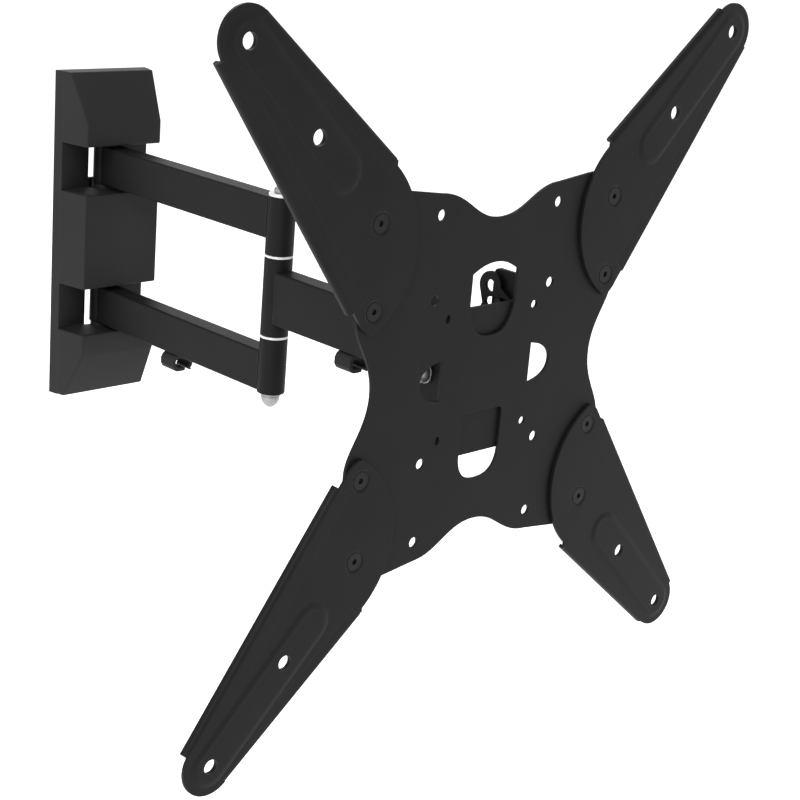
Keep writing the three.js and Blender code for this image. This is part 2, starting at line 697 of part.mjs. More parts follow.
const guideHead = rodX(5.4, earOut + gap, earOut + gap + 4, guideY, guideZ, 6);
const guideScrew = guideHead.add(rodX(2.7, earInsideX, earOut + 1, guideY, guideZ));
add('guide_screw_right', guideScrew, blackZinc);
add('guide_screw_left', guideScrew.mirror([1, 0, 0]), blackZinc);

export default object;
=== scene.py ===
import json
import math

import bmesh
import bpy
import numpy as np
from mathutils import Matrix, Vector


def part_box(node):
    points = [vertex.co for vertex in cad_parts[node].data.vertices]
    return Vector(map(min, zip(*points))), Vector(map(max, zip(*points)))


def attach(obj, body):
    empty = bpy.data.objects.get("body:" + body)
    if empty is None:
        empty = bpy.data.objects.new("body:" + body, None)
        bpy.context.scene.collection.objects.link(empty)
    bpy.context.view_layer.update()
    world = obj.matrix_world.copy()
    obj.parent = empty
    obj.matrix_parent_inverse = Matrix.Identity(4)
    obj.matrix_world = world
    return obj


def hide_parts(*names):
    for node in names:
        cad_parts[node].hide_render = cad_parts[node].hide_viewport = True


# Screen mount on an articulated arm. Row frame: X right, Y into the wall, Z up, in metres; the dictionaries
# of the pieces are in millimetres.
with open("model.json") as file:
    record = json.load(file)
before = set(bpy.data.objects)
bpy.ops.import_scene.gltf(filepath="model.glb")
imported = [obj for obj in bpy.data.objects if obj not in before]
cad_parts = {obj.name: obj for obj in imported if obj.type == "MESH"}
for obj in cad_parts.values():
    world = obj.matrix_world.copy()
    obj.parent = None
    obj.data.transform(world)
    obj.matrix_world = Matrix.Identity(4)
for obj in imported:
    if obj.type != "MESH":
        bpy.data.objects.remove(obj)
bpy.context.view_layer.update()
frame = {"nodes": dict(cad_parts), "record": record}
bodyOf = {node: body for body, group in frame["record"]["behaviour"]["bodies"].items() for node in group}
slotOf = {part["node"]: part["material_slot"] for part in frame["record"]["subparts"]}
scene = bpy.context.scene
scene.view_settings.view_transform = "Standard"
print("frame loaded:", len(frame["nodes"]), "nodes")


class Wire:
    # an output socket that takes part in ordinary arithmetic, each operator adding one Math node
    def __init__(self, finish, socket):
        self.finish = finish
        self.socket = socket

    def maths(self, operation, first, second):
        return self.finish.node("ShaderNodeMath", {"operation": operation}, {0: first, 1: second})

    def __add__(self, other):
        return self.maths("ADD", self, other)

    def __radd__(self, other):
        return self.maths("ADD", other, self)

    def __sub__(self, other):
        return self.maths("SUBTRACT", self, other)

    def __rsub__(self, other):
        return self.maths("SUBTRACT", other, self)

    def __mul__(self, other):
        return self.maths("MULTIPLY", self, other)

    def __rmul__(self, other):
        return self.maths("MULTIPLY", other, self)


class Finish:
    # one material: a principled shader and the nodes that vary it
    def __init__(self, name, **fixed):
        self.material = bpy.data.materials.new(name)
        self.material.use_nodes = True
        self.tree = self.material.node_tree
        self.shader = self.tree.nodes["Principled BSDF"]
        for socketName, value in fixed.items():
            self.shader.inputs[socketName.replace("_", " ")].default_value = value

    def node(self, kind, settings=None, values=None, out=0):
        # type, settings first, then the values or links of its sockets
        made = self.tree.nodes.new(kind)
        for key, value in (settings or {}).items():
            if key == "stops":
                for stop, (place, shade) in zip(made.color_ramp.elements, value):
                    stop.position = place
                    stop.color = (shade, shade, shade, 1.0)
            else:
                setattr(made, key, value)
        for key, value in (values or {}).items():
            if isinstance(value, Wire):
                self.tree.links.new(value.socket, made.inputs[key])
            else:
                made.inputs[key].default_value = value
        return Wire(self, made.outputs[out])

    def place(self):
        return self.node("ShaderNodeTexCoord", out=3)

    def noise(self, place, scale, detail=2.0, rough=0.5):
        values = {"Vector": place, "Scale": scale, "Detail": detail, "Roughness": rough}
        return self.node("ShaderNodeTexNoise", values=values)

    def ramp(self, wire, *stops):
        return self.node("ShaderNodeValToRGB", {"stops": stops}, {0: wire})

    def corners(self, radius):
        # 0 on flat and gently curved faces, rising toward edges: 1 - bevelled normal . shading normal
        soft = self.node("ShaderNodeBevel", {"samples": 4}, {"Radius": radius})
        plain = self.node("ShaderNodeNewGeometry", out=1)
        facing = self.node("ShaderNodeVectorMath", {"operation": "DOT_PRODUCT"}, {0: soft, 1: plain}, out=1)
        return 1.0 - facing

    def mix(self, factor, first, second):
        values = {0: factor, 6: (*first, 1.0) if isinstance(first, tuple) else first}
        values[7] = (*second, 1.0) if isinstance(second, tuple) else second
        return self.node("ShaderNodeMix", {"data_type": "RGBA"}, values, out=2)

    def feed(self, socketName, wire):
        self.tree.links.new(wire.socket, self.shader.inputs[socketName])

    def relief(self, height, distance, strength=1.0, under=None):
        values = {"Strength": strength, "Distance": distance, "Height": height}
        if under is not None:
            values["Normal"] = under
        return self.node("ShaderNodeBump", values=values)


# finishes: linear colours, scales as cells per metre, depths and edge radii in metres
# pale edge colour: partly wear, partly a painted highlight on the edges
powderLook = {"dark": (0.0058, 0.0058, 0.0060), "light": (0.0086, 0.0086, 0.0088),
              "wornAndSheen": (0.07, 0.07, 0.072), "shine": 0.10, "cloud": 22.0, "dimple": 260.0, "grain": 900.0,
              "edge": 0.0009, "dimpleDeep": 0.00012, "grainDeep": 0.00004, "relief": 0.35}


def makePowderCoat():
    # powder coat: fine dimples under a finer sparkle of grain, paler along the edges: partly wear, partly a
    # painted highlight
    look = powderLook
    coat = Finish("powderCoat", Metallic=0.0, IOR=1.5, Specular_IOR_Level=look["shine"])
    place = coat.place()
    cloud = coat.noise(place, look["cloud"], 3.0)
    dimple = coat.noise(place, look["dimple"], 2.0, 0.45)
    grain = coat.noise(place, look["grain"], 3.0, 0.65)
    # edge mask toward the pale edge colour: partly wear, partly a painted highlight
    rubAndSheen = coat.ramp(coat.corners(look["edge"]) * 4.0 + (grain - 0.5) * 0.3, (0.5, 0.0), (1.0, 1.0))
    tone = coat.ramp(cloud * 0.6 + grain * 0.4, (0.35, 0.0), (0.65, 1.0))
    coat.feed("Base Color", coat.mix(rubAndSheen * 0.45, coat.mix(tone, look["dark"], look["light"]), look["wornAndSheen"]))
    coat.feed("Roughness", 0.40 + cloud * 0.10 + grain * 0.10 - rubAndSheen * 0.06)
    coarse = coat.relief(dimple, look["dimpleDeep"], look["relief"])
    coat.feed("Normal", coat.relief(grain, look["grainDeep"], look["relief"], coarse))
    return coat.material


# pale edge colour: partly wear, partly a painted highlight on the edges
plasticLook = {"dark": (0.0135, 0.0135, 0.0137), "light": (0.0175, 0.0175, 0.0178),
               "wornAndSheen": (0.035, 0.035, 0.036), "shine": 0.13, "cloud": 14.0, "grain": 1500.0, "cells": 1100.0,
               "edge": 0.0008, "grainDeep": 0.00006, "relief": 0.35}


def makePlastic():
    # moulded plastic: spark-eroded grain of small cells, smoother and paler on the edges: partly wear, partly
    # a painted highlight
    look = plasticLook
    plastic = Finish("mouldedPlastic", Metallic=0.0, IOR=1.5, Specular_IOR_Level=look["shine"])
    place = plastic.place()
    cloud = plastic.noise(place, look["cloud"], 2.0)
    grain = plastic.noise(place, look["grain"], 2.0, 0.6)
    cells = plastic.node("ShaderNodeTexVoronoi", {"feature": "F1"}, {"Vector": place, "Scale": look["cells"]})
    # edge mask toward the pale edge colour: partly wear, partly a painted highlight
    rubAndSheen = plastic.ramp(plastic.corners(look["edge"]) * 5.0 + (grain - 0.5) * 0.3, (0.15, 0.0), (0.8, 1.0))
    tone = plastic.ramp(cloud * 0.7 + grain * 0.3, (0.35, 0.0), (0.65, 1.0))
    base = plastic.mix(tone, look["dark"], look["light"])
    plastic.feed("Base Color", plastic.mix(rubAndSheen * 0.35, base, look["wornAndSheen"]))
    plastic.feed("Roughness", 0.46 + cloud * 0.08 + grain * 0.12 - rubAndSheen * 0.08)
    plastic.feed("Normal", plastic.relief(cells + grain * 0.5, look["grainDeep"], look["relief"]))
    return plastic.material


zincLook = {"dark": (0.25, 0.254, 0.258), "light": (0.40, 0.404, 0.408), "cloud": 160.0, "speck": 2200.0,
            "rings": (60.0, 60.0, 2600.0), "ringDeep": 0.00003, "relief": 0.3}


def makeZinc():
    # zinc plate: fine rings left by turning, cloudy plating, a little grime in the roughness
    look = zincLook
    zinc = Finish("zincPlate", Metallic=1.0)
    place = zinc.place()
    cloud = zinc.noise(place, look["cloud"], 3.0)
    stretched = zinc.node("ShaderNodeMapping", {}, {"Vector": place, "Scale": look["rings"]})
    rings = zinc.noise(stretched, 1.0, 2.0)
    speck = zinc.noise(place, look["speck"], 2.0)
    tone = zinc.ramp(cloud * 0.6 + rings * 0.4, (0.3, 0.0), (0.7, 1.0))
    zinc.feed("Base Color", zinc.mix(tone, look["dark"], look["light"]))
    zinc.feed("Roughness", 0.38 + cloud * 0.14 + speck * 0.08)
    zinc.feed("Normal", zinc.relief(rings + speck * 0.3, look["ringDeep"], look["relief"]))
    return zinc.material


screwLook = {"dark": (0.006, 0.006, 0.0063), "light": (0.014, 0.014, 0.0145), "shine": 0.15, "mottle": 500.0,
             "speck": 2400.0, "speckDeep": 0.00003, "relief": 0.35}


def makeBlackSteel():
    # black oxide: dark, slightly oily steel with mottled gloss
    look = screwLook
    oxide = Finish("blackOxide", Metallic=0.3, Specular_IOR_Level=look["shine"])
    place = oxide.place()
    mottle = oxide.noise(place, look["mottle"], 3.0)
    speck = oxide.noise(place, look["speck"], 2.0)
    oxide.feed("Base Color", oxide.mix(mottle, look["dark"], look["light"]))
    oxide.feed("Roughness", 0.26 + mottle * 0.16 + speck * 0.06)
    oxide.feed("Normal", oxide.relief(speck, look["speckDeep"], look["relief"]))
    return oxide.material


nylonLook = {"dark": (0.50, 0.50, 0.50), "light": (0.66, 0.66, 0.66), "cloud": 320.0, "speck": 1800.0,
             "speckDeep": 0.00004, "relief": 0.3}


def makeNylon():
    # pale nylon: neutral grey white, faint clouding and a soft satin face
    look = nylonLook
    nylon = Finish("paleNylon", Metallic=0.0, IOR=1.5)
    place = nylon.place()
    cloud = nylon.noise(place, look["cloud"], 3.0)
    speck = nylon.noise(place, look["speck"], 2.0)
    tone = nylon.ramp(cloud, (0.3, 0.0), (0.6, 1.0))
    nylon.feed("Base Color", nylon.mix(tone, look["dark"], look["light"]))
    nylon.feed("Roughness", 0.34 + cloud * 0.14 + speck * 0.06)
    nylon.feed("Normal", nylon.relief(speck, look["speckDeep"], look["relief"]))
    return nylon.material


finishes = {"black_powder_coat": makePowderCoat(), "black_plastic": makePlastic(), "zinc_steel": makeZinc(),
            "black_steel": makeBlackSteel(), "nylon": makeNylon()}
print("finishes made:", len(finishes))


def arc(cx, cy, r, start, end, count=24):
    # points at equal angles on a circle about (cx, cy), from start to end degrees
    a = np.radians(np.linspace(start, end, count))
    return np.column_stack([cx + r * np.cos(a), cy + r * np.sin(a)])


def circle(cx, cy, r, count=48):
    return arc(cx, cy, r, 0, 360, count + 1)[:-1]


def bezier(p0, p1, p2, p3, count=20):
    # cubic: (1-t)^3 p0 + 3(1-t)^2 t p1 + 3(1-t) t^2 p2 + t^3 p3
    t = np.linspace(0, 1, count)[:, None]
    p0, p1, p2, p3 = map(np.asarray, (p0, p1, p2, p3))
    return (1 - t) ** 3 * p0 + 3 * (1 - t) ** 2 * t * p1 + 3 * (1 - t) * t * t * p2 + t ** 3 * p3


def bend(p0, p1, p2, count=12):
    # quadratic: (1-t)^2 p0 + 2(1-t) t p1 + t^2 p2
    t = np.linspace(0, 1, count)[:, None]
    p0, p1, p2 = map(np.asarray, (p0, p1, p2))
    return (1 - t) ** 2 * p0 + 2 * (1 - t) * t * p1 + t * t * p2


def chain(*parts):
    # joins runs of points, dropping any that repeat the one before
    points = np.vstack([np.atleast_2d(np.asarray(p, float)) for p in parts])
    step = np.linalg.norm(points - np.roll(points, 1, axis=0), axis=1)
    return points[step > 0.02]


turns = {"XZ": Matrix(((1, 0, 0, 0), (0, 0, -1, 0), (0, 1, 0, 0), (0, 0, 0, 1))),
         "YZ": Matrix(((0, 0, 1, 0), (1, 0, 0, 0), (0, 1, 0, 0), (0, 0, 0, 1)))}


def sheetMesh(loops, low, high, edge, plane):
    # flat sheet: outline and hole loops filled, thickness from low to high along the plane's normal
    # (Y for XZ, X for YZ), every rim rounded to the radius edge
    flat = bpy.data.curves.new("flat", "CURVE")
    flat.dimensions = "2D"
    flat.fill_mode = "BOTH"
    flat.extrude = (high - low) / 2 - edge
    flat.bevel_depth = edge
    flat.bevel_resolution = 2
    flat.offset = -edge
    for loop in loops:
        spline = flat.splines.new("POLY")
        spline.points.add(len(loop) - 1)
        places = np.column_stack([loop, np.zeros(len(loop)), np.ones(len(loop))])
        spline.points.foreach_set("co", places.ravel())
        spline.use_cyclic_u = True
    holder = bpy.data.objects.new("flat", flat)
    scene.collection.objects.link(holder)
    shot = holder.evaluated_get(bpy.context.evaluated_depsgraph_get())
    mesh = bpy.data.meshes.new_from_object(shot)
    bpy.data.objects.remove(holder)
    middle = (high + low) / 2
    shift = {"XZ": (0, middle, 0), "YZ": (middle, 0, 0)}[plane]
    mesh.transform(Matrix.Translation(shift) @ turns[plane])
    return mesh


def turnedMesh(profile, axis, centre, sides=72):
    # profile of (radius, height) carried round an axis: x = r cos a, y = r sin a, z = height
    r, h = np.asarray(profile, float).T
    a = np.linspace(0, 2 * math.pi, sides, endpoint=False)
    ring = np.stack([np.outer(np.cos(a), r), np.outer(np.sin(a), r), np.tile(h, (sides, 1))], axis=2)
    i, j = np.meshgrid(np.arange(sides), np.arange(len(r)), indexing="ij")
    nextI, nextJ = (i + 1) % sides, (j + 1) % len(r)
    n = len(r)
    faces = np.stack([i * n + j, nextI * n + j, nextI * n + nextJ, i * n + nextJ], axis=2).reshape(-1, 4)
    order = {"Z": (0, 1, 2), "Y": (1, 2, 0), "X": (2, 0, 1)}[axis]
    points = ring.reshape(-1, 3)[:, order] + np.asarray(centre, float)
    mesh = bpy.data.meshes.new("turned")
    mesh.from_pydata(points.tolist(), [], faces.tolist())
    return mesh


def sweptMesh(profile, start, end, outward, inward):
    # closed profile of (out, deep) carried straight from start to end: start + out * outward + deep * inward
    profile = np.asarray(profile, float)
    n = len(profile)
    base = profile[:, :1] * np.asarray(outward) + profile[:, 1:] * np.asarray(inward)
    points = np.vstack([base + np.asarray(start), base + np.asarray(end)])
    j = np.arange(n)
    sides = np.column_stack([j, (j + 1) % n, (j + 1) % n + n, j + n]).tolist()
    mesh = bpy.data.meshes.new("swept")
    mesh.from_pydata(points.tolist(), [], sides + [j[::-1].tolist(), (j + n).tolist()])
    return mesh


def baked(mesh, kind, settings):
    # the mesh with one modifier applied
    holder = bpy.data.objects.new("baking", mesh)
    scene.collection.objects.link(holder)
    modifier = holder.modifiers.new("baking", kind)
    for key, value in settings.items():
        setattr(modifier, key, value)
    shot = holder.evaluated_get(bpy.context.evaluated_depsgraph_get())
    made = bpy.data.meshes.new_from_object(shot)
    bpy.data.objects.remove(holder)
    return made


def shaded(name, mesh, smoothAngle):
    # smooth shading that keeps broad faces flat: normals weighted by face area, sharp above the angle
    mesh.shade_smooth()
    mesh.set_sharp_from_angle(angle=math.radians(smoothAngle))
    made = baked(mesh, "WEIGHTED_NORMAL", {"keep_sharp": True, "weight": 80, "mode": "FACE_AREA_WITH_ANGLE"})
    piece = bpy.data.objects.new(name, made)
    scene.collection.objects.link(piece)
    return piece


def finishMesh(name, meshes, flips=(1, 1, 1), smoothAngle=35.0):
    # joins meshes, mirrors them by flips, merges doubles, turns faces outward and brings mm to metres
    joined = bmesh.new()
    for mesh in meshes:
        joined.from_mesh(mesh)
        bpy.data.meshes.remove(mesh)
    bmesh.ops.remove_doubles(joined, verts=joined.verts, dist=0.0008)
    bmesh.ops.transform(joined, matrix=Matrix.Diagonal((*(0.001 * s for s in flips), 1)), verts=joined.verts)
    bmesh.ops.recalc_face_normals(joined, faces=joined.faces)
    made = bpy.data.meshes.new(name)
    joined.to_mesh(made)
    joined.free()
    return shaded(name, made, smoothAngle)


def settle(piece, node):
    # stands for its CAD node: same body, same finish
    slot = slotOf[node]
    piece.data.materials.clear()
    piece.data.materials.append(finishes[slot])
    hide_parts(node)
    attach(piece, bodyOf[node])
    return piece


def eased(node, width, steps=3, angle=28.0, smoothAngle=38.0, seam=None):
    # a copy of a CAD node, merged, its facets dissolved and every corner rounded to width mm; a seam
    # (low, high, level, slope) keeps its rim unrounded and draws it out to level, widened by slope
    copied = bmesh.new()
    copied.from_mesh(frame["nodes"][node].data)
    bmesh.ops.remove_doubles(copied, verts=copied.verts, dist=1e-6)
    bmesh.ops.dissolve_limit(copied, angle_limit=math.radians(1.0), verts=copied.verts, edges=copied.edges)
    weight = copied.edges.layers.float.new("bevel_weight_edge")
    rim = {v for v in copied.verts if seam and seam[0] < v.co.y * 1000 < seam[1]}
    for edge in copied.edges:
        turned = len(edge.link_faces) == 2 and math.degrees(edge.calc_face_angle()) > angle
        edge[weight] = 1.0 if turned and not (edge.verts[0] in rim and edge.verts[1] in rim) else 0.0
    for v in rim:
        wider = seam[3] * (seam[2] * 0.001 - v.co.y)
        v.co.x += math.copysign(wider, v.co.x)
        v.co.y = seam[2] * 0.001
    source = bpy.data.meshes.new(node)
    copied.to_mesh(source)
    copied.free()
    made = baked(source, "BEVEL", {"width": width * 0.001, "segments": steps, "limit_method": "WEIGHT",
                                   "use_clamp_overlap": True})
    return settle(shaded(node + ".eased", made, smoothAngle), node)


# wall bracket: corner radii, and the seams that eased() draws out as (low, high, level, slope)
bracketEdges = {"wall_base": 0.7, "top_cover": 2.1, "middle_cover": 2.1, "bottom_cover": 2.1,
                "wall_plate": 0.3}
coverSeam = (-8.6, -8.3, -8.08, 0.214)
bracketSeams = {"wall_base": (-8.2, -8.05, -8.1, 0.0), "top_cover": coverSeam, "middle_cover": coverSeam,
                "bottom_cover": coverSeam}
for node, width in bracketEdges.items():
    eased(node, width, 4, seam=bracketSeams.get(node))
for word in ("upper", "lower"):
    eased(word + "_pivot_ear_outer", 0.4)
    eased(word + "_pivot_ear_inner", 0.4)
print("wall bracket made")


def ringProfile(rIn, rOut, z0, z1, edge):
    # closed section of a ring with its four corners rounded
    corners = [(rOut - edge, z0 + edge, -90), (rOut - edge, z1 - edge, 0),
               (rIn + edge, z1 - edge, 90), (rIn + edge, z0 + edge, 180)]
    return np.vstack([arc(cx, cy, edge, a, a + 90, 5) for cx, cy, a in corners])


def domeProfile(top, r, high):
    # cap nut hanging below top: collar, groove, dome and a flat tip, r wide at the dome
    collar = r + 0.35
    dome = arc(0, 0, 1, 0, -66, 16) * (r, high - 2.2) + (0, top - 2.2)
    head = [(0.02, top), (collar - 0.3, top), (collar, top - 0.3), (collar, top - 1.5),
            (collar - 0.25, top - 1.75), (r - 0.2, top - 1.85), (r - 0.2, top - 2.1)]
    tip = dome[-1] - (0.35, 0.45)
    return np.vstack([head, dome, [tip], [(0.02, tip[1])]])[::-1]


def headProfile(z, r, high):
    # low round bolt head with a soft shoulder
    curve = [(1, 0.05), (1, 0.5), (0.95, 0.62), (0.84, 0.78), (0.64, 0.9), (0.32, 0.98), (0.004, 1)]
    return [(r * a, z + high * b) for a, b in curve]


# round pieces: bore radius and corner radius of each ring
ringPieces = {"upper_wall_knuckle": (5.3, 0.35), "lower_wall_knuckle": (5.3, 0.35),
              "upper_elbow_tube": (5.3, 0.45), "lower_elbow_tube": (5.3, 0.45),
              "elbow_middle_tube": (5.3, 0.45), "upper_elbow_spacer": (5.3, 0.25),
              "lower_elbow_spacer": (5.3, 0.25), "elbow_top_washer": (5.3, 0.35),
              "head_top_washer": (4.3, 0.35),
              "upper_pivot_bush_outer": (5.3, 0.4), "upper_pivot_bush_inner": (5.3, 0.4),
              "lower_pivot_bush_outer": (5.3, 0.4), "lower_pivot_bush_inner": (5.3, 0.4)}
for node, (rIn, edge) in ringPieces.items():
    low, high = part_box(node)
    y = (low.y + high.y) * 500
    profile = ringProfile(rIn, (high.x - low.x) * 500, low.z * 1000, high.z * 1000, edge)
    settle(finishMesh(node + ".round", [turnedMesh(profile, "Z", (0, y, 0))]), node)

# shank radius, head radius and head height; boltSeat is how far under the box's top the head is seated
boltSeat = 5.3
boltShape = {"elbow_bolt": (5.0, 5.7, 4.7), "head_bolt": (4.0, 5.7, 4.7)}
for node, (r, headR, headHigh) in boltShape.items():
    low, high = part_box(node)
    y = (low.y + high.y) * 500
    seat = high.z * 1000 - boltSeat
    foot = low.z * 1000
    shank = [(0.02, foot), (r - 0.5, foot), (r, foot + 0.5), (r, seat), (headR - 0.2, seat)]
    profile = np.vstack([shank, headProfile(seat, headR, headHigh)])
    settle(finishMesh(node + ".round", [turnedMesh(profile, "Z", (0, y, 0))], smoothAngle=50), node)
for node, size in {"elbow_cap_nut": (6.55, 10.4), "head_cap_nut": (6.2, 8.6)}.items():
    low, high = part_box(node)
    y = (low.y + high.y) * 500
    dome = turnedMesh(domeProfile(high.z * 1000, *size), "Z", (0, y, 0))
    settle(finishMesh(node + ".round", [dome]), node)
for node in ("upper_pivot_pin", "lower_pivot_pin"):
    eased(node, 0.3)
print("round pieces made")


# arms: corner radii of the tubes and folded pieces, then the cable clips
armEdges = {"upper_arm_tube": 0.3, "lower_arm_tube": 0.3, "inner_arm_tube": 0.3,
            "head_knuckle": 0.6, "head_channel": 0.5}
for node, width in armEdges.items():
    eased(node, width, 3, 40.0, 32.0)

clipShape = {"half": 9.0, "high": 12.4, "wall": 2.6, "corner": 4.6, "ribs": 5, "ribHigh": 0.4,
             "mouth": (2.4, 5.6), "lip": 1.5}


def clipLoops():
    # one loop, open at the mouth: outer contour from the right lip round to the left lip, then back along
    # the inner one; the left side carries small half-round ribs
    s = clipShape
    h, w, c, rib, lip = s["half"], s["wall"], s["corner"], s["ribHigh"], s["lip"]
    low = -s["high"] / 2
    left, right = s["mouth"]
    span = s["high"] - 2 * c + 2.4
    ribs = [arc(rib - h, span * (0.5 - (k + 0.5) / s["ribs"]), rib, 100, 260, 7) for k in range(s["ribs"])]
    outerRight = chain(arc(right + 1.2, low + lip, lip, 180, 320, 14),
                       arc(h - c, low + c + 0.6, c, -52, 0, 8))
    top = chain(arc(h - c, -low - c, c, 0, 90, 14), arc(rib + c - h, -low - c, c, 90, 180, 14))
    leftSide = chain(*ribs, arc(rib + c - h, low + c, c, 180, 270, 14),
                     arc(left - 1.3, low + 1.3, 1.3, -90, 90, 12))
    r = c - w + 0.6
    inner = chain(arc(w - h + r, low + w + r, r, 270, 180, 11), arc(w - h + r, -low - w - r, r, 180, 90, 11),
                  arc(h - w - r, -low - w - r, r, 90, 0, 11), arc(h - w - r, low + w + r + 0.6, r, 0, -60, 9),
                  arc(right + 1.2, low + lip, lip, 60, 180, 12))
    return [chain(outerRight, top, leftSide, inner)]


for node in ("outer_cable_clip", "inner_cable_clip"):
    low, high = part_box(node)
    loops = [loop + (0, high.z * 1000 - clipShape["high"] / 2) for loop in clipLoops()]
    settle(finishMesh(node + ".strap", [sheetMesh(loops, low.y * 1000, high.y * 1000, 0.25, "XZ")]), node)
print("arms made")


# head and tilt bracket: slot ends in degrees from upright, guide screw in degrees from level
tiltShape = {"axisY": -391.5, "slotR": 35.0, "slotHalf": 3.0, "slotFrom": -11.4, "slotTo": 15.7,
             "guide": 86.2, "lobe": (-382.0, 43.8, 9.0), "webY": -371.0}


def aboutAxis(degrees):
    # point at the slot's radius from the tilt axis, by angle from level
    turn = math.radians(degrees)
    return tiltShape["axisY"] + tiltShape["slotR"] * math.cos(turn), tiltShape["slotR"] * math.sin(turn)


def slotLoop():
    # arc slot about the tilt axis with round ends
    s = tiltShape
    a0, a1 = 90 - s["slotTo"], 90 - s["slotFrom"]
    half = s["slotHalf"]
    return chain(arc(s["axisY"], 0, s["slotR"] + half, a0, a1, 16),
                 arc(*aboutAxis(a1), half, a1, a1 + 180, 14),
                 arc(s["axisY"], 0, s["slotR"] - half, a1, a0, 16),
                 arc(*aboutAxis(a0), half, a0 + 180, a0 + 360, 14))


def headEarLoops():
    # round foot about the tilt bolt, arc slot for the guide screw and a pierced lobe at the top
    s = tiltShape
    ly, lz, lr = s["lobe"]
    cap = aboutAxis(90 - s["slotFrom"])
    outer = chain((s["webY"] - 3, -16), (s["axisY"], -12), arc(s["axisY"], 0, 12, 270, 180, 20),
                  arc(*cap, s["slotHalf"] + 2, 180, 90, 12), arc(ly, lz, lr, 180, -17.2, 30),
                  (-376.5, 32), (s["webY"], 20), (s["webY"], -16))
    return [outer, slotLoop(), circle(ly, lz, 3.8), circle(s["axisY"], 0, 4.3)]


def tiltEarLoops():
    # tall plate with a round foot, bored for the tilt bolt and the guide screw
    s = tiltShape
    outer = chain((-405.1, 55), (-405.1, -24), arc(s["axisY"], -10, 14, 270, 360, 24), (-381.4, 28),
                  (-381.4, 50), arc(-385.4, 51, 4, 0, 90, 10))
    return [outer, circle(s["axisY"], 0, 4.3), circle(*aboutAxis(s["guide"]), 3.0)]


for side, word in ((1, "right"), (-1, "left")):
    for node, loops in (("head_ear_" + word, headEarLoops()), ("tilt_ear_" + word, tiltEarLoops())):
        low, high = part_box(node)
        inside, outside = sorted((abs(low.x) * 1000, abs(high.x) * 1000))
        mesh = sheetMesh(loops, inside, outside, 0.3, "YZ")
        settle(finishMesh(node + ".plate", [mesh], (side, 1, 1)), node)
    eased("guide_screw_" + word, 0.3)
eased("tilt_web", 0.3)
eased("tilt_bolt", 0.4)
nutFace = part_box("tilt_nut")[1].x * 1000
dome = turnedMesh(domeProfile(0.0, 6.6, 11.0), "X", (nutFace, tiltShape["axisY"], 0))
settle(finishMesh("tilt_nut.round", [dome]), "tilt_nut")
print("head and tilt bracket made")


# screen plate: holes as (x, z, radius)
plateShape = {"front": -410.4, "back": -408.2, "edge": 0.35, "bossOut": 5.2, "bossHigh": 2.4,
              "holes": ((50, 100, 3.3), (50, 50, 3.3), (37.5, 37.5, 2.6), (100, 100, 3.3), (100, 50, 3.3))}


def quarterPoints():
    # a quarter of the plate's outline, from the middle of the top edge to the middle of the right one
    return chain(bezier((0, 95), (22, 95), (28, 111.5), (50, 112.5), 22), (77, 116), (102, 118),
                 bend((102, 118), (112, 117), (112.5, 106), 12),
                 bezier((110.5, 44), (109, 30), (95, 20), (95, 0), 18))


def allQuarters(q):
    # one quarter mirrored into four, in one clockwise loop
    return chain(q, (q * (1, -1))[::-1], q * (-1, -1), (q * (-1, 1))[::-1])


def windowLoops():
    # arched window above, rounded window below, and a half round one at each side
    top = chain(bezier((-19.5, 42), (-17, 28), (-12, 23), (0, 23), 14),
                bezier((0, 23), (12, 23), (17, 28), (19.5, 42), 14),
                bend((19.5, 62), (0, 74), (-19.5, 62), 16))
    low = chain(bend((-14, -24.5), (-17.5, -24.5), (-17.5, -28), 6),
                bezier((-17.5, -50), (-17.5, -64), (-10, -68), (0, -68), 14),
                bezier((0, -68), (10, -68), (17.5, -64), (17.5, -50), 14),
                bend((17.5, -28), (17.5, -24.5), (14, -24.5), 6))
    side = chain(bezier((38.5, -12.8), (48, -11.5), (56.5, -8), (56.5, 0), 12),
                 bezier((56.5, 0), (56.5, 8), (48, 11.5), (38.5, 12.8), 12))
    return [top, low, side, side * (-1, 1)]


def plateMeshes():
    # the pierced sheet and a pressed boss behind each hole for an arm screw
    s = plateShape
    holes = [circle(sx * x, sz * z, r, 40) for sx in (1, -1) for sz in (1, -1) for x, z, r in s["holes"]]
    outlines = [allQuarters(quarterPoints()), *windowLoops(), *holes]
    meshes = [sheetMesh(outlines, s["front"], s["back"], s["edge"], "XZ")]
    boss = ringProfile(3.3, s["bossOut"], s["back"] - 0.3, s["back"] + s["bossHigh"], 0.3)
    for x in (-100, 100):
        for z in (-100, -50, 50, 100):
            meshes.append(turnedMesh(boss, "Y", (x, 0, z), 40))
    return meshes


settle(finishMesh("centre_plate.pressed", plateMeshes()), "centre_plate")

# extension arm, drawn at the top right and mirrored to the other corners; angles of its long edges from
# level, and for each edge the reach of its fold outward and the run of the fold from the tip
armShape = {"front": -413.2, "sheet": 2.5, "edge": 0.4, "tipR": 18.2, "angles": (39.2, 54.3),
            "out": (1.0, 3.0), "runs": ((0.4, 125.2), (-1.2, 169.6)), "step": 2.6, "deep": 5.2,
            "bendR": 3.0, "fold": -7.0, "padHalf": 14.0, "padEdge": 4.6, "padHigh": 0.8, "sunk": 0.03}


def edgeRun(tangent, degrees, side):
    # straight edge from a tip tangent point toward the middle; at(d, off) is d mm along and off mm outward
    a = math.radians(degrees)
    along = np.array((-math.cos(a), -math.sin(a)))
    out = np.array((side * math.sin(a), -side * math.cos(a)))
    return (lambda d, off: np.asarray(tangent) + d * along + off * out), out


def stadium(half):
    # two half circles about the ends of the pad's centre line, joined straight
    return np.vstack([arc(200, 200, half, -45, 135, 30), arc(131, 131, half, 135, 315, 30)])


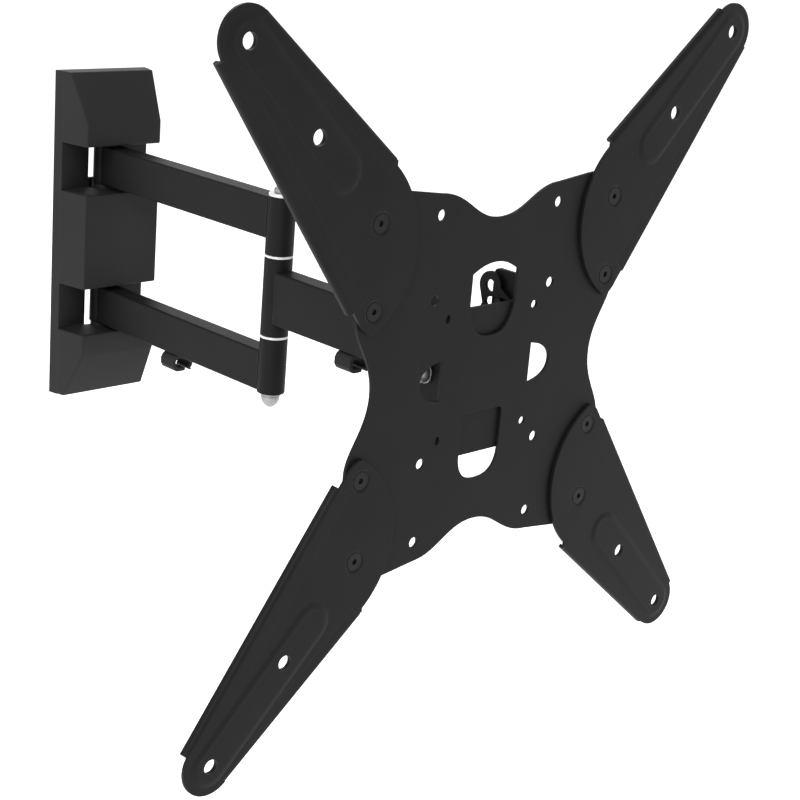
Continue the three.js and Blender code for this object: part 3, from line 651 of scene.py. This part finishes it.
def padSkirt():
    # soft rim of the pad: rings of stadium(half - edge u), raised by high (3u^2 - 2u^3) from just under the
    # sheet, then level, then dipping just under the pad's top
    s = armShape
    u = np.linspace(0, 1, 12)
    rise = [*(s["padHigh"] * (3 * u ** 2 - 2 * u ** 3)), s["padHigh"], s["padHigh"] - 0.05]
    rise[0] = -0.02
    halves = [*(s["padHalf"] - s["padEdge"] * u), 8.0, 6.0]
    rings = [stadium(half) for half in halves]
    n = len(rings[0])
    points = np.vstack([np.column_stack([ring[:, 0], np.full(n, s["front"] - high), ring[:, 1]])
                        for ring, high in zip(rings, rise)])
    i, j = np.meshgrid(np.arange(len(rings) - 1), np.arange(n), indexing="ij")
    k = (j + 1) % n
    faces = np.stack([i * n + j, i * n + k, (i + 1) * n + k, (i + 1) * n + j], axis=2).reshape(-1, 4)
    mesh = bpy.data.meshes.new("skirt")
    mesh.from_pydata(points.tolist(), [], faces.tolist())
    return mesh


def foldProfile(out):
    # section of the folded edge: flat part that starts under the sheet's face and runs just proud of it,
    # quarter bend of radius bendR, rounded free rim
    s = armShape
    r, t, deep, sunk, inner = s["bendR"], s["sheet"], s["deep"], s["sunk"], s["fold"] - 1.5
    front = [(inner, sunk), (s["fold"], -sunk)]
    rim = [(out, deep - 0.4), (out - 0.12, deep - 0.12), (out - 0.4, deep), (out - t + 0.4, deep),
           (out - t, deep - 0.4)]
    back = [(s["fold"], t - 0.1), (inner, t - 0.1)]
    outside = arc(out - r, r - sunk, r, -90, 0, 12)
    inside = arc(out - r, r, r - t, 0, -90, 5)
    return np.vstack([front, outside, rim, inside, back])


def armMeshes():
    # sheet with stepped straight edges, a folded flange on each, a raised pad and dished screw seats
    s = armShape
    front, r = s["front"], s["tipR"]
    up, lo = (math.radians(angle) for angle in s["angles"])
    upper = edgeRun((200 - r * math.sin(up), 200 + r * math.cos(up)), s["angles"][0], -1)
    lower = edgeRun((200 + r * math.sin(lo), 200 - r * math.cos(lo)), s["angles"][1], 1)
    upperAt, lowerAt = upper[0], lower[0]
    k = s["step"]
    outline = chain(arc(200, 200, r, s["angles"][1] - 90, s["angles"][0] + 90, 60),
                    upperAt(0.8, 0), upperAt(0.8, -k), upperAt(125, -k), (91, 134.6),
                    arc(129.4, 87.3, 58.5, 131, 240, 60), bend((100.15, 36.6), (106, 37), (110, 43.55), 10),
                    lowerAt(169.4, 0), lowerAt(169.4, -k), lowerAt(0.4, -k), lowerAt(0.4, 0))
    back = front + s["sheet"]
    seats = [circle(100, z, 7.0) for z in (100, 50)]
    bolts = [circle(d, d, 4.5) for d in (200, 150)]
    meshes = [sheetMesh([outline, *seats, *bolts], front, back, s["edge"], "XZ")]
    dish = [(7.4, front + 0.5), (6.92, front + 0.12), (3.4, front + 2.1), (3.4, back - 0.02),
            (7.4, back - 0.02)]
    meshes += [turnedMesh(dish, "Y", (100, 0, z), 56) for z in (100, 50)]
    padTop = front - s["padHigh"] + 0.02
    meshes += [sheetMesh([stadium(8.8), *bolts], padTop, front + 0.9, 0.04, "XZ"), padSkirt()]
    for (at, away), out, (fromD, toD) in zip((upper, lower), s["out"], s["runs"]):
        (x0, z0), (x1, z1) = at(fromD, 0), at(toD, 0)
        outward = (away[0], 0, away[1])
        meshes.append(sweptMesh(foldProfile(out), (x0, front, z0), (x1, front, z1), outward, (0, 1, 0)))
    return meshes


for rise, sz in (("top", 1), ("bottom", -1)):
    for hand, sx in (("right", 1), ("left", -1)):
        corner = rise + "_" + hand
        node = "extension_arm_" + corner
        settle(finishMesh(node + ".folded", armMeshes(), (sx, 1, sz)), node)
        eased("arm_screw_outer_" + corner, 0.25)
        eased("arm_screw_inner_" + corner, 0.25)
print("screen plate made")

# room, light and camera, in metres
room = {"floorZ": -0.42, "size": 14.0, "white": (0.97, 0.97, 0.97), "shade": (0.95, 0.95, 0.95), "glow": 0.5}


def floorMaterial():
    # pale floor with a faint cloud, lit a little from within so that it stays white
    white = (1.0, 1.0, 1.0, 1.0)
    paint = Finish("paleFloor", Roughness=0.9, Emission_Color=white, Emission_Strength=room["glow"])
    cloud = paint.noise(paint.place(), 3.0, 2.0)
    paint.feed("Base Color", paint.mix(cloud * 0.3, room["white"], room["shade"]))
    return paint.material


grid = np.linspace(-room["size"], room["size"], 9)
gx, gy = np.meshgrid(grid, grid, indexing="ij")
points = np.column_stack([gx.ravel(), gy.ravel(), np.full(gx.size, room["floorZ"])])
n = len(grid)
i, j = np.meshgrid(np.arange(n - 1), np.arange(n - 1), indexing="ij")
quads = np.stack([i * n + j, (i + 1) * n + j, (i + 1) * n + j + 1, i * n + j + 1], axis=2).reshape(-1, 4)
floorMesh = bpy.data.meshes.new("floor")
floorMesh.from_pydata(points.tolist(), [], quads.tolist())
floor = bpy.data.objects.new("floor", floorMesh)
floorMesh.materials.append(floorMaterial())
scene.collection.objects.link(floor)

world = bpy.data.worlds.new("studio")
world.use_nodes = True
sky = {"low": (1.0, 1.0, 1.0, 1.0), "high": (0.42, 0.42, 0.42, 1.0), "from": 0.05, "to": 0.75,
       "strength": 1.25}
tree = world.node_tree
direction = tree.nodes.new("ShaderNodeTexCoord")
parts = tree.nodes.new("ShaderNodeSeparateXYZ")
fade = tree.nodes.new("ShaderNodeValToRGB")
for stop, place, shade in zip(fade.color_ramp.elements, (sky["from"], sky["to"]), (sky["low"], sky["high"])):
    stop.position = place
    stop.color = shade
tree.links.new(direction.outputs["Generated"], parts.inputs["Vector"])
tree.links.new(parts.outputs["Z"], fade.inputs["Fac"])
tree.links.new(fade.outputs["Color"], tree.nodes["Background"].inputs["Color"])
tree.nodes["Background"].inputs["Strength"].default_value = sky["strength"]
scene.world = world

# place, size and power
lamps = {"key": ((-2.0, -1.1, 1.9), 1.2, 62.0), "fill": ((1.6, -1.6, 0.9), 1.6, 3.0),
         "rim": ((0.6, 1.2, 1.4), 1.0, 12.0)}
for name, (spot, size, power) in lamps.items():
    lamp = bpy.data.lights.new(name, "AREA")
    lamp.size = size
    lamp.energy = power
    holder = bpy.data.objects.new(name, lamp)
    holder.location = spot
    holder.rotation_euler = (Vector((0, -0.25, 0)) - Vector(spot)).to_track_quat("-Z", "Y").to_euler()
    scene.collection.objects.link(holder)

# camera: focal length, place and the directions of its axes
eye = {"lens": 77.997, "place": (-0.74696, -1.07912, 0.29551),
       "right": (0.7194, -0.6898, 0.0811), "up": (0.1545, 0.2727, 0.9496), "back": (-0.6772, -0.6707, 0.3027)}
camera = bpy.data.cameras.new("camera")
camera.lens = eye["lens"]
camera.sensor_width = 36.0
cameraObject = bpy.data.objects.new("camera", camera)
turn = Matrix((eye["right"], eye["up"], eye["back"])).transposed()
cameraObject.matrix_world = Matrix.Translation(eye["place"]) @ turn.to_4x4()
scene.collection.objects.link(cameraObject)
scene.camera = cameraObject
print("room, light and camera made")
